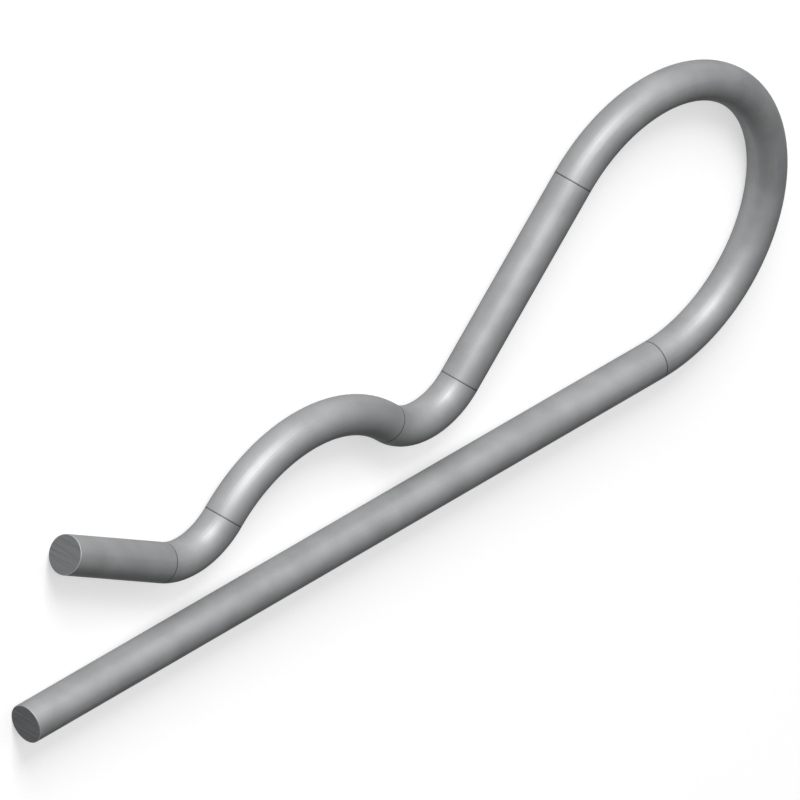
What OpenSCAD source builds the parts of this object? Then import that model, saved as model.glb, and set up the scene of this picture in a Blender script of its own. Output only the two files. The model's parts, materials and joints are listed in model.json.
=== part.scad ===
// R-clip for a hitch pin: one length of round spring wire.
// The straight leg goes through a cross hole in the shaft, the loop is the spring,
// and the hump of the bowed arm snaps over the shaft and holds it.
// The clip lies flat: X runs along the leg towards the loop, Y towards the bowed arm,
// and the origin is the centre of the shaft, on the axis of the leg.

/* [Wire] */
// Diameter of the wire
wire_d = 3; // [2:0.1:4.5]
// How much thinner the wire is drawn in the loop and in the neck bends
bend_draw = 0.02; // [0.01:0.01:0.1]
// Edge broken off the two cut ends
end_break = 0.05; // [0.02:0.01:0.4]

/* [Shaft] */
// Diameter of the shaft that the clip is made for
shaft_d = 20; // [16:0.5:25]
// Play all round between the shaft and the hump
shaft_play = 0.2; // [0:0.05:1]

/* [Leg] */
// From the centre of the shaft to the free end of the leg
leg_reach = 28.4; // [18:0.2:45]

/* [Loop] */
// Inside diameter of the spring loop
loop_d = 20.6; // [14:0.2:28]

/* [Arm] */
// Slope of the arm against the leg, in degrees
arm_slope = 45.5; // [38:0.5:52]
// Inside radius of the neck bends on both sides of the hump
neck_r = 3.7; // [2.5:0.1:6]

/* [Tail] */
// Straight length of the lead-in tail
tail_length = 11.2; // [6:0.2:18]
// Slope of the tail away from the leg, in degrees
tail_flare = 30; // [15:1:45]

/* [Hidden] */

// Facets of the round section, and of a full turn of a bend
section_fn = 48;
turn_fn = 120;

// Diameter of the flat on the cut ends
cut_d = wire_d - 2 * end_break;

// How far a drawn bend reaches into the stretches on both sides of it
bend_lap = 0.05;

// Radii of the bends, at the middle of the wire
loop_bend = loop_d / 2 + wire_d / 2;
hump_bend = shaft_d / 2 + shaft_play + wire_d / 2;
neck_bend = neck_r + wire_d / 2;

// The straight of the arm that brings the hump round the shaft
arm_length = (loop_bend + (loop_bend - hump_bend) * cos(arm_slope)) / sin(arm_slope);

// From the centre of the shaft to the centre of the loop, along the leg
loop_reach = (loop_bend + hump_bend + 2 * neck_bend) * sin(arm_slope) + arm_length * cos(arm_slope);

// A straight stretch along X, tapered if its two diameters differ, and what follows it
module straight(length, start_d = wire_d, finish_d = wire_d) {
    rotate([0, 90, 0])
        cylinder(h = length, d1 = start_d, d2 = finish_d, $fn = section_fn);
    translate([length, 0, 0])
        children();
}

// A bend of the wire, to the left for a positive angle, and what follows it
module bend(radius, angle, draw = bend_draw, lap = bend_lap) {
    side = sign(angle);
    lap_angle = lap / radius * 180 / PI;
    translate([0, side * radius, 0]) {
        rotate_extrude(
            start = min(angle, 0) - side * 90 - lap_angle,
            angle = abs(angle) + 2 * lap_angle,
            $fn = turn_fn
        )
            translate([radius, 0])
                circle(d = wire_d - draw, $fn = section_fn);
        rotate(angle)
            translate([0, -side * radius, 0])
                children();
    }
}

// The wire, followed from the free end of the leg to the end of the tail
module clip_wire() {
    color("silver")
        translate([-leg_reach, 0, 0])
            straight(end_break, start_d = cut_d)
            straight(leg_reach + loop_reach - end_break)
            bend(loop_bend, 180 + arm_slope)
            straight(arm_length)
            bend(neck_bend, -2 * arm_slope)
            bend(hump_bend, 2 * arm_slope, draw = 0, lap = 0)
            bend(neck_bend, -arm_slope - tail_flare)
            straight(tail_length - end_break)
            straight(end_break, finish_d = cut_d);
}

clip_wire();
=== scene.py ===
"""R-clip for a hitch pin: one bent length of zinc-coated spring wire, lying in a plain studio."""

import json
import math

import bpy
from mathutils import Matrix, Vector


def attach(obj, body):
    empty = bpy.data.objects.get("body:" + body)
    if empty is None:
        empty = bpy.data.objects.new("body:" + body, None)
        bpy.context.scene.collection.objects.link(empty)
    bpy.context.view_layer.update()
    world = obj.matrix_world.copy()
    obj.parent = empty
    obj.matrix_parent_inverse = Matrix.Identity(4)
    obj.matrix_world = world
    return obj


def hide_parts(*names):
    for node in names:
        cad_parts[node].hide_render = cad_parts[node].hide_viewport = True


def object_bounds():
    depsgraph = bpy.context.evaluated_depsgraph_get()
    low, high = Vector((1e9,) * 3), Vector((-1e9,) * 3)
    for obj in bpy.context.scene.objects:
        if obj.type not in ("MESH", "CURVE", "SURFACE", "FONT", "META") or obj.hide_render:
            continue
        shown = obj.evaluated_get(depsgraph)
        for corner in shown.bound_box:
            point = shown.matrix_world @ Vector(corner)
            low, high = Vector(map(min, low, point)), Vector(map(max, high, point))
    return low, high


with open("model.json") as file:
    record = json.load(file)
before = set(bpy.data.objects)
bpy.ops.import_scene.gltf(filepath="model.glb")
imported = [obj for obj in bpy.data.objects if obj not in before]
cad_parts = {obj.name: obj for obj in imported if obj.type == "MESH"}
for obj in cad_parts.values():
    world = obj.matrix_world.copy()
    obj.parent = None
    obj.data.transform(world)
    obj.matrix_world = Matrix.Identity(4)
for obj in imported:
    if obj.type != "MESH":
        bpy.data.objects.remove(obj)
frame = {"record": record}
CAD_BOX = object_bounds()

bl_info = {
    "name": "Hitch Pin R-Clip",
    "version": (1, 0, 0),
    "blender": (4, 5, 0),
    "location": "3D View > Sidebar > R-Clip",
    "description": "Builds the bent wire of an R-clip with its finish, and a plain studio round it",
    "category": "Add Mesh",
}

MM = 0.001
MOUNTS = {mount["name"]: mount for mount in frame["record"]["mounts"]}
LEG, SEAT, EYE = (MOUNTS[name] for name in ("straight_leg", "shaft_seat", "loop_eye"))
WIRE_RADIUS = LEG["dims"]["r_mm"] * MM
LOOP_RADIUS = EYE["dims"]["r_mm"] * MM + WIRE_RADIUS
HUMP_RADIUS = SEAT["dims"]["r_mm"] * MM + WIRE_RADIUS

# Points in a ring round the wire, and the widest step between rings along the wire and round a bend
RING_POINTS = 72
WIRE_STEP = 4 * MM
BEND_STEP = math.radians(3)

# Rings at a rolled edge, as shares of its radius from the cut end, and on a cut face, as shares of its radius
EDGE_RINGS = (0.1, 0.3, 0.6, 1.0, 1.5)
FACE_RINGS = (0.5, 0.98)

# What each point tells the finish: its place on the wire before it was bent,
# and how deep it lies in a bending mark, from 0 to 1
UNBENT = "unbent_wire"
MARK = "bending_mark"


def linear(hex_colour):
    """The linear RGBA of an sRGB hex colour."""
    channels = [int(hex_colour[i:i + 2], 16) / 255 for i in (1, 3, 5)]
    return [c / 12.92 if c <= 0.04045 else ((c + 0.055) / 1.055) ** 2.4 for c in channels] + [1.0]


def length(name, description, default):
    """A size in metres."""
    return bpy.props.FloatProperty(
        name=name, description=description, default=default, min=0, precision=5,
        subtype="DISTANCE", unit="LENGTH",
    )


def angle(name, description, degrees):
    """An angle that is shown in degrees."""
    return bpy.props.FloatProperty(
        name=name, description=description, default=math.radians(degrees),
        subtype="ANGLE", unit="ROTATION",
    )


def colour(name, description, hex_colour):
    """A colour that is written as sRGB hex."""
    return bpy.props.FloatVectorProperty(
        name=name, description=description, default=linear(hex_colour), size=4, min=0, max=1,
        subtype="COLOR",
    )


def level(name, description, default):
    """A brightness, where 1 is white."""
    return bpy.props.FloatProperty(name=name, description=description, default=default, min=0)


class RClipSizes(bpy.types.PropertyGroup):
    """Sizes of the bent wire, with the radii of its bends at the middle of the wire."""

    wire_radius: length("Wire radius", "Radius of the wire", WIRE_RADIUS)
    leg_reach: length("Leg reach", "From the shaft's centre to the leg's free end", -CAD_BOX[0].x)
    loop_reach: length("Loop reach", "From the shaft's centre to the loop's, along the leg", EYE["pos_m"][0])
    loop_radius: length("Loop radius", "Radius of the spring loop", LOOP_RADIUS)
    hump_radius: length("Hump radius", "Radius of the hump round the shaft", HUMP_RADIUS)
    arm_slope: angle("Arm slope", "Slope of the arm against the leg", 45.5)
    tail_length: length("Tail length", "Straight length of the lead-in tail", 11.2 * MM)
    tail_flare: angle("Tail flare", "Slope of the tail away from the leg", 30)
    end_round: length("End round", "Radius that the cutter rolls on the edges of the cut ends", 0.05 * MM)
    mark_width: length("Mark width", "Width of the line that the bending tool leaves at a bend", 0.14 * MM)
    mark_depth: length("Mark depth", "Depth of that line", 0.006 * MM)


class RClipFinish(bpy.types.PropertyGroup):
    """Colours of the wire, and sizes of the patterns on it."""

    zinc: colour("Zinc", "The zinc coat where it is clean", "#9c9d9e")
    zinc_cloud: colour("Zinc cloud", "The zinc coat where it has dulled", "#929394")
    zinc_glance: colour("Zinc glance", "Tint of what the zinc coat mirrors at a flat glance", "#606162")
    mark: colour("Mark", "The line that the bending tool leaves", "#1f2021")
    # The grey of the cut ends is partly bare steel and partly painted shade, darker than the steel itself
    cut_steel: colour("Cut steel", "The bare steel of the cut ends", "#636465")
    cloud_size: length("Cloud size", "Width of a dulled cloud", 2.5 * MM)
    die_gap: length("Die line gap", "From one line of the drawing die to the next", 0.15 * MM)
    die_length: length("Die line length", "Length of a line of the drawing die", 20 * MM)
    drag_gap: length("Drag line gap", "From one line of the cutter to the next", 0.3 * MM)
    drag_length: length("Drag line length", "Length of a line of the cutter", 3 * MM)


class RClipStudio(bpy.types.PropertyGroup):
    """Floor, lamps and camera."""

    floor: colour("Floor", "The paper floor as it is lit", "#c4c4c4")
    floor_white: level("Floor white", "White added to the floor where it is seen or mirrored", 0.52)
    floor_reach: length("Floor reach", "From the shaft's centre to the floor's edges", 4)
    panel_level: level("Panel", "Brightness of the wide panel", 0.85)
    key_level: level("Key", "Brightness of the small softbox", 22)
    room_level: level("Room", "Brightness of the room behind the lamps", 0.08)
    aim: bpy.props.FloatVectorProperty(
        name="Aim", description="Point that the camera looks at", default=(9.688 * MM, 9.532 * MM, 0),
        subtype="TRANSLATION", unit="LENGTH",
    )
    view_width: length("View width", "Width of the picture at the aim", 57.987 * MM)
    lens: bpy.props.FloatProperty(
        name="Lens", description="Focal length, long enough to see the clip almost without perspective",
        default=1500, min=1, unit="CAMERA",
    )


def stretches(sizes):
    """The wire from the leg's free end to the tail's, as (length, curvature) with left bends positive."""
    slope, loop, hump = sizes.arm_slope, sizes.loop_radius, sizes.hump_radius
    arm = (loop + (loop - hump) * math.cos(slope)) / math.sin(slope)
    neck = ((sizes.loop_reach - arm * math.cos(slope)) / math.sin(slope) - loop - hump) / 2
    if neck <= sizes.wire_radius:
        raise ValueError("The neck bends don't fit between the loop and the hump")
    return [
        (sizes.leg_reach + sizes.loop_reach, 0),
        (loop * (math.pi + slope), 1 / loop),
        (arm, 0),
        (neck * 2 * slope, -1 / neck),
        (hump * 2 * slope, 1 / hump),
        (neck * (slope + sizes.tail_flare), -1 / neck),
        (sizes.tail_length, 0),
    ]


def wire_place(wire, distance):
    """How far the wire has gone at a distance along it, and the direction to its left."""
    x = y = heading = 0.0
    for reach, curvature in wire:
        step = min(distance, reach)
        turned = heading + step * curvature
        if curvature:
            x += (math.sin(turned) - math.sin(heading)) / curvature
            y += (math.cos(heading) - math.cos(turned)) / curvature
        else:
            x += step * math.cos(heading)
            y += step * math.sin(heading)
        heading = turned
        distance -= step
    return Vector((x, y, 0)), Vector((-math.sin(heading), math.cos(heading), 0))


def wire_rings(wire, sizes):
    """The rings that the wire is skinned over, as (distance, radius, mark), from cut end to cut end."""
    seams = [sum(reach for reach, _ in wire[:i]) for i in range(1, len(wire))]
    total = seams[-1] + wire[-1][0]
    edge = sizes.end_round

    # The marks and the rolled edges get rings of their own. The outermost of these lie just beside them,
    # which keeps their shading off the rest of the wire.
    distances = {0.0, total}
    for (reach, curvature), begin in zip(wire, [0.0] + seams):
        count = math.ceil(max(reach / WIRE_STEP, reach * abs(curvature) / BEND_STEP))
        distances.update(begin + reach * i / count for i in range(1, count))
    for seam in seams:
        distances.update(seam + sizes.mark_width * quarter / 4 for quarter in range(-3, 4))
    for share in EDGE_RINGS:
        distances.update((edge * share, total - edge * share))

    rings = []
    for distance in sorted(distances):
        mark = max(0.0, 1 - min(abs(distance - seam) for seam in seams) / (sizes.mark_width / 2))
        short = max(0.0, edge - min(distance, total - distance))
        rolled = edge - math.sqrt(edge ** 2 - short ** 2)
        rings.append((distance, sizes.wire_radius - rolled - sizes.mark_depth * mark, mark))
    face = [((sizes.wire_radius - edge) * share, 0.0) for share in FACE_RINGS]
    return [(0.0, *ring) for ring in face] + rings + [(total, *ring) for ring in reversed(face)]


def wire_mesh(sizes):
    """The closed skin of the wire, with its cut ends in the second material."""
    wire = stretches(sizes)
    rings = wire_rings(wire, sizes)
    leg_end, up = Vector((-sizes.leg_reach, 0, 0)), Vector((0, 0, 1))
    points, unbent, marks = [], [], []
    for distance, radius, mark in rings:
        gone, left = wire_place(wire, distance)
        for i in range(RING_POINTS):
            turn = 2 * math.pi * i / RING_POINTS
            across, rise = radius * math.cos(turn), radius * math.sin(turn)
            points.append(leg_end + gone + across * left + rise * up)
            unbent += (across, rise, distance)
            marks.append(mark)

    # The rings of a cut end share one distance
    faces, cut = [], []
    for ring in range(len(rings) - 1):
        first, second = ring * RING_POINTS, (ring + 1) * RING_POINTS
        for i in range(RING_POINTS):
            j = (i + 1) % RING_POINTS
            faces.append((first + i, first + j, second + j, second + i))
            cut.append(int(rings[ring][0] == rings[ring + 1][0]))
    faces += [tuple(reversed(range(RING_POINTS))), tuple(range(len(points) - RING_POINTS, len(points)))]
    cut += [1, 1]

    mesh = bpy.data.meshes.new("r_clip_wire")
    mesh.from_pydata(points, [], faces)
    mesh.attributes.new(UNBENT, "FLOAT_VECTOR", "POINT").data.foreach_set("vector", unbent)
    mesh.attributes.new(MARK, "FLOAT", "POINT").data.foreach_set("value", marks)
    mesh.polygons.foreach_set("material_index", cut)
    mesh.shade_smooth()
    return mesh


def add_node(tree, kind, inputs=None, **settings):
    """Adds a node with its settings, and sets each of its inputs to a value or links it to a socket."""
    node = tree.nodes.new(kind)
    for name, value in settings.items():
        setattr(node, name, value)
    for key, value in (inputs or {}).items():
        if isinstance(value, bpy.types.NodeSocket):
            tree.links.new(value, node.inputs[key])
        else:
            node.inputs[key].default_value = value
    return node


def empty_tree(owner):
    """The node tree of a new material or world, with no nodes yet."""
    owner.use_nodes = True
    owner.node_tree.nodes.clear()
    return owner.node_tree


def zinc_coated_wire(finish):
    """Hard-drawn spring steel wire, zinc coated before it was cut and bent.

    The drawing die smears the zinc into fine lines along the wire, and a thin film of oxide dulls it.
    So it is a satin grey with soft highlights: a good part of the light is scattered and not mirrored,
    and the edges of the wire don't brighten as those of clean metal do.
    Handling dulls it further in faint clouds, and the bending tool leaves a dark line where each bend begins.
    """
    material = bpy.data.materials.new("zinc_coated_spring_wire")
    tree = empty_tree(material)
    unbent = add_node(tree, "ShaderNodeAttribute", attribute_name=UNBENT).outputs["Vector"]
    mark = add_node(tree, "ShaderNodeAttribute", attribute_name=MARK).outputs["Fac"]
    clouds = add_node(tree, "ShaderNodeTexNoise", {
        "Vector": unbent, "Scale": 1 / finish.cloud_size, "Detail": 4.0,
    })
    dulled = add_node(tree, "ShaderNodeMapRange", {
        "Value": clouds.outputs["Fac"], "From Min": 0.35, "From Max": 0.65,
    })
    # Real die lines are about 0.03 mm apart, too fine to be seen here, so these are coarser
    drawn = add_node(tree, "ShaderNodeMapping", {
        "Vector": unbent, "Scale": (1, 1, finish.die_gap / finish.die_length),
    })
    lines = add_node(tree, "ShaderNodeTexNoise", {
        "Vector": drawn.outputs["Vector"], "Scale": 1 / finish.die_gap,
    })
    satin = add_node(tree, "ShaderNodeMapRange", {
        "Value": lines.outputs["Fac"], "From Min": 0.3, "From Max": 0.7, "To Min": 0.52, "To Max": 0.62,
    })
    relief = add_node(tree, "ShaderNodeBump", {
        "Height": lines.outputs["Fac"], "Strength": 0.5, "Distance": 0.01 * MM,
    })
    # Inputs 6 and 7 of a Mix node are its two colours, and output 2 is the mixed one
    coat = add_node(tree, "ShaderNodeMix", {
        "Factor": dulled.outputs["Result"], 6: finish.zinc, 7: finish.zinc_cloud,
    }, data_type="RGBA")
    marked = add_node(tree, "ShaderNodeMix", {
        "Factor": mark, 6: coat.outputs[2], 7: finish.mark,
    }, data_type="RGBA")
    metal = add_node(tree, "ShaderNodeBsdfPrincipled", {
        "Base Color": marked.outputs[2],
        "Specular Tint": finish.zinc_glance,
        "Metallic": 0.6,
        "Roughness": satin.outputs["Result"],
        "Normal": relief.outputs["Normal"],
    })
    add_node(tree, "ShaderNodeOutputMaterial", {"Surface": metal.outputs["BSDF"]})
    return material


def sheared_steel(finish):
    """Spring steel bared and torn by the cutter.

    The torn grain is so coarse that it scatters light and hardly mirrors.
    Its dark grey is partly the bare steel's own tone and partly painted shade, kept dark so that the cut ends
    look shaded.
    So it is a dark, matt grey with drag lines across the face.
    """
    material = bpy.data.materials.new("sheared_spring_steel")
    tree = empty_tree(material)
    unbent = add_node(tree, "ShaderNodeAttribute", attribute_name=UNBENT).outputs["Vector"]
    # The lines run with the stroke of the cutter, across the flat of the clip.
    # Real ones are about 0.1 mm apart, too fine to be seen here, so these are coarser.
    stroke = add_node(tree, "ShaderNodeMapping", {
        "Vector": unbent, "Scale": (1, finish.drag_gap / finish.drag_length, 1),
    })
    drag = add_node(tree, "ShaderNodeTexNoise", {
        "Vector": stroke.outputs["Vector"], "Scale": 1 / finish.drag_gap,
    })
    torn = add_node(tree, "ShaderNodeMapRange", {
        "Value": drag.outputs["Fac"], "From Min": 0.3, "From Max": 0.7, "To Min": 0.75, "To Max": 0.9,
    })
    relief = add_node(tree, "ShaderNodeBump", {
        "Height": drag.outputs["Fac"], "Strength": 0.6, "Distance": 0.1 * MM,
    })
    metal = add_node(tree, "ShaderNodeBsdfPrincipled", {
        # The base colour is partly painted shade: the cut ends are kept darker than bare steel
        "Base Color": finish.cut_steel,
        "Specular IOR Level": 0.2,
        "Roughness": torn.outputs["Result"],
        "Normal": relief.outputs["Normal"],
    })
    add_node(tree, "ShaderNodeOutputMaterial", {"Surface": metal.outputs["BSDF"]})
    return material


class RCLIP_OT_wire(bpy.types.Operator):
    """Sweep the round wire along the clip's bends and give it its finish"""

    bl_idname = "rclip.wire"
    bl_label = "Bent Wire"
    bl_options = {"REGISTER", "UNDO"}

    def execute(self, context):
        sizes, finish = context.scene.rclip_sizes, context.scene.rclip_finish
        mesh = wire_mesh(sizes)
        mesh.materials.append(zinc_coated_wire(finish))
        mesh.materials.append(sheared_steel(finish))
        clip = bpy.data.objects.new("r_clip_wire", mesh)
        context.scene.collection.objects.link(clip)
        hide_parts("clip_wire")
        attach(clip, "root")
        return {"FINISHED"}


def white_paper(studio):
    """Matt white paper, with the clip's shadow on it and white added where it is seen or mirrored."""
    material = bpy.data.materials.new("matt_white_paper")
    tree = empty_tree(material)
    path = add_node(tree, "ShaderNodeLightPath").outputs
    mirrored = add_node(tree, "ShaderNodeMath", {
        0: path["Is Glossy Ray"], 1: path["Is Transmission Ray"],
    }, operation="MAXIMUM")
    seen = add_node(tree, "ShaderNodeMath", {
        0: path["Is Camera Ray"], 1: mirrored.outputs["Value"],
    }, operation="MAXIMUM")
    white = add_node(tree, "ShaderNodeMath", {
        0: seen.outputs["Value"], 1: studio.floor_white,
    }, operation="MULTIPLY")
    paper = add_node(tree, "ShaderNodeBsdfDiffuse", {"Color": studio.floor})
    glow = add_node(tree, "ShaderNodeEmission", {"Strength": white.outputs["Value"]})
    both = add_node(tree, "ShaderNodeAddShader", {0: paper.outputs["BSDF"], 1: glow.outputs["Emission"]})
    add_node(tree, "ShaderNodeOutputMaterial", {"Surface": both.outputs["Shader"]})
    return material


def dim_room(studio):
    """Even white light from all round, behind the lamps."""
    world = bpy.data.worlds.new("dim_room")
    tree = empty_tree(world)
    walls = add_node(tree, "ShaderNodeBackground", {"Color": (1, 1, 1, 1), "Strength": studio.room_level})
    add_node(tree, "ShaderNodeOutputWorld", {"Surface": walls.outputs["Background"]})
    return world


def add_floor(scene, studio):
    """A sheet of paper under the clip."""
    reach, low = studio.floor_reach, CAD_BOX[0].z
    corners = [(-reach, -reach, low), (reach, -reach, low), (reach, reach, low), (-reach, reach, low)]
    mesh = bpy.data.meshes.new("paper_floor")
    mesh.from_pydata(corners, [], [(0, 1, 2, 3)])
    mesh.materials.append(white_paper(studio))
    floor = bpy.data.objects.new("paper_floor", mesh)
    scene.collection.objects.link(floor)


def add_softbox(scene, name, towards, distance, width, height, brightness):
    """A flat soft lamp that faces the clip and isn't seen itself."""
    lamp = bpy.data.lights.new(name, "AREA")
    lamp.shape = "RECTANGLE"
    lamp.size, lamp.size_y = width, height
    lamp.energy = brightness * math.pi * width * height
    softbox = bpy.data.objects.new(name, lamp)
    softbox.location = towards.normalized() * distance
    softbox.rotation_euler = towards.to_track_quat("Z", "Y").to_euler()
    softbox.visible_camera = False
    scene.collection.objects.link(softbox)


def add_camera(scene, studio):
    """An even view of all three axes, from over the arm and the tail."""
    right, up, back = (Vector(axis).normalized() for axis in ((1, 0, 1), (1, 2, -1), (-1, 1, 1)))
    camera = bpy.data.objects.new("camera", bpy.data.cameras.new("camera"))
    camera.data.lens = studio.lens
    distance = studio.view_width * studio.lens / camera.data.sensor_width
    turn = Matrix((right, up, back)).transposed().to_4x4()
    camera.matrix_world = Matrix.Translation(Vector(studio.aim) + distance * back) @ turn
    scene.collection.objects.link(camera)
    scene.camera = camera


class RCLIP_OT_studio(bpy.types.Operator):
    """Lay a pale paper floor under the clip, light it softly and set up the camera"""

    bl_idname = "rclip.studio"
    bl_label = "Studio"
    bl_options = {"REGISTER", "UNDO"}

    def execute(self, context):
        scene, studio = context.scene, context.scene.rclip_studio
        scene.view_settings.view_transform = "Standard"
        scene.world = dim_room(studio)
        add_floor(scene, studio)
        # A wide panel leans from the floor to overhead on the arm's side, with a small softbox in front of it
        add_softbox(
            scene, "wide_panel", towards=Vector((0, 1, 1)), distance=1.2,
            width=4.8, height=2.4, brightness=studio.panel_level,
        )
        add_softbox(
            scene, "key_softbox", towards=Vector((-0.19, 0.9, 0.42)), distance=1.0,
            width=0.4, height=0.4, brightness=studio.key_level,
        )
        add_camera(scene, studio)
        return {"FINISHED"}


class RCLIP_PT_sidebar(bpy.types.Panel):
    """Sizes, finish and studio of the clip"""

    bl_label = "Hitch Pin R-Clip"
    bl_idname = "RCLIP_PT_sidebar"
    bl_space_type = "VIEW_3D"
    bl_region_type = "UI"
    bl_category = "R-Clip"

    def draw(self, context):
        scene = context.scene
        for operator, groups in (
            (RCLIP_OT_wire, (scene.rclip_sizes, scene.rclip_finish)),
            (RCLIP_OT_studio, (scene.rclip_studio,)),
        ):
            box = self.layout.box()
            for group in groups:
                for name in group.__annotations__:
                    box.prop(group, name)
            box.operator(operator.bl_idname)


CLASSES = (RClipSizes, RClipFinish, RClipStudio, RCLIP_OT_wire, RCLIP_OT_studio, RCLIP_PT_sidebar)


def register():
    for cls in CLASSES:
        bpy.utils.register_class(cls)
    bpy.types.Scene.rclip_sizes = bpy.props.PointerProperty(type=RClipSizes)
    bpy.types.Scene.rclip_finish = bpy.props.PointerProperty(type=RClipFinish)
    bpy.types.Scene.rclip_studio = bpy.props.PointerProperty(type=RClipStudio)


def unregister():
    del bpy.types.Scene.rclip_studio
    del bpy.types.Scene.rclip_finish
    del bpy.types.Scene.rclip_sizes
    for cls in reversed(CLASSES):
        bpy.utils.unregister_class(cls)


def main():
    register()
    bpy.ops.rclip.wire()
    bpy.ops.rclip.studio()


if __name__ == "__main__":
    main()
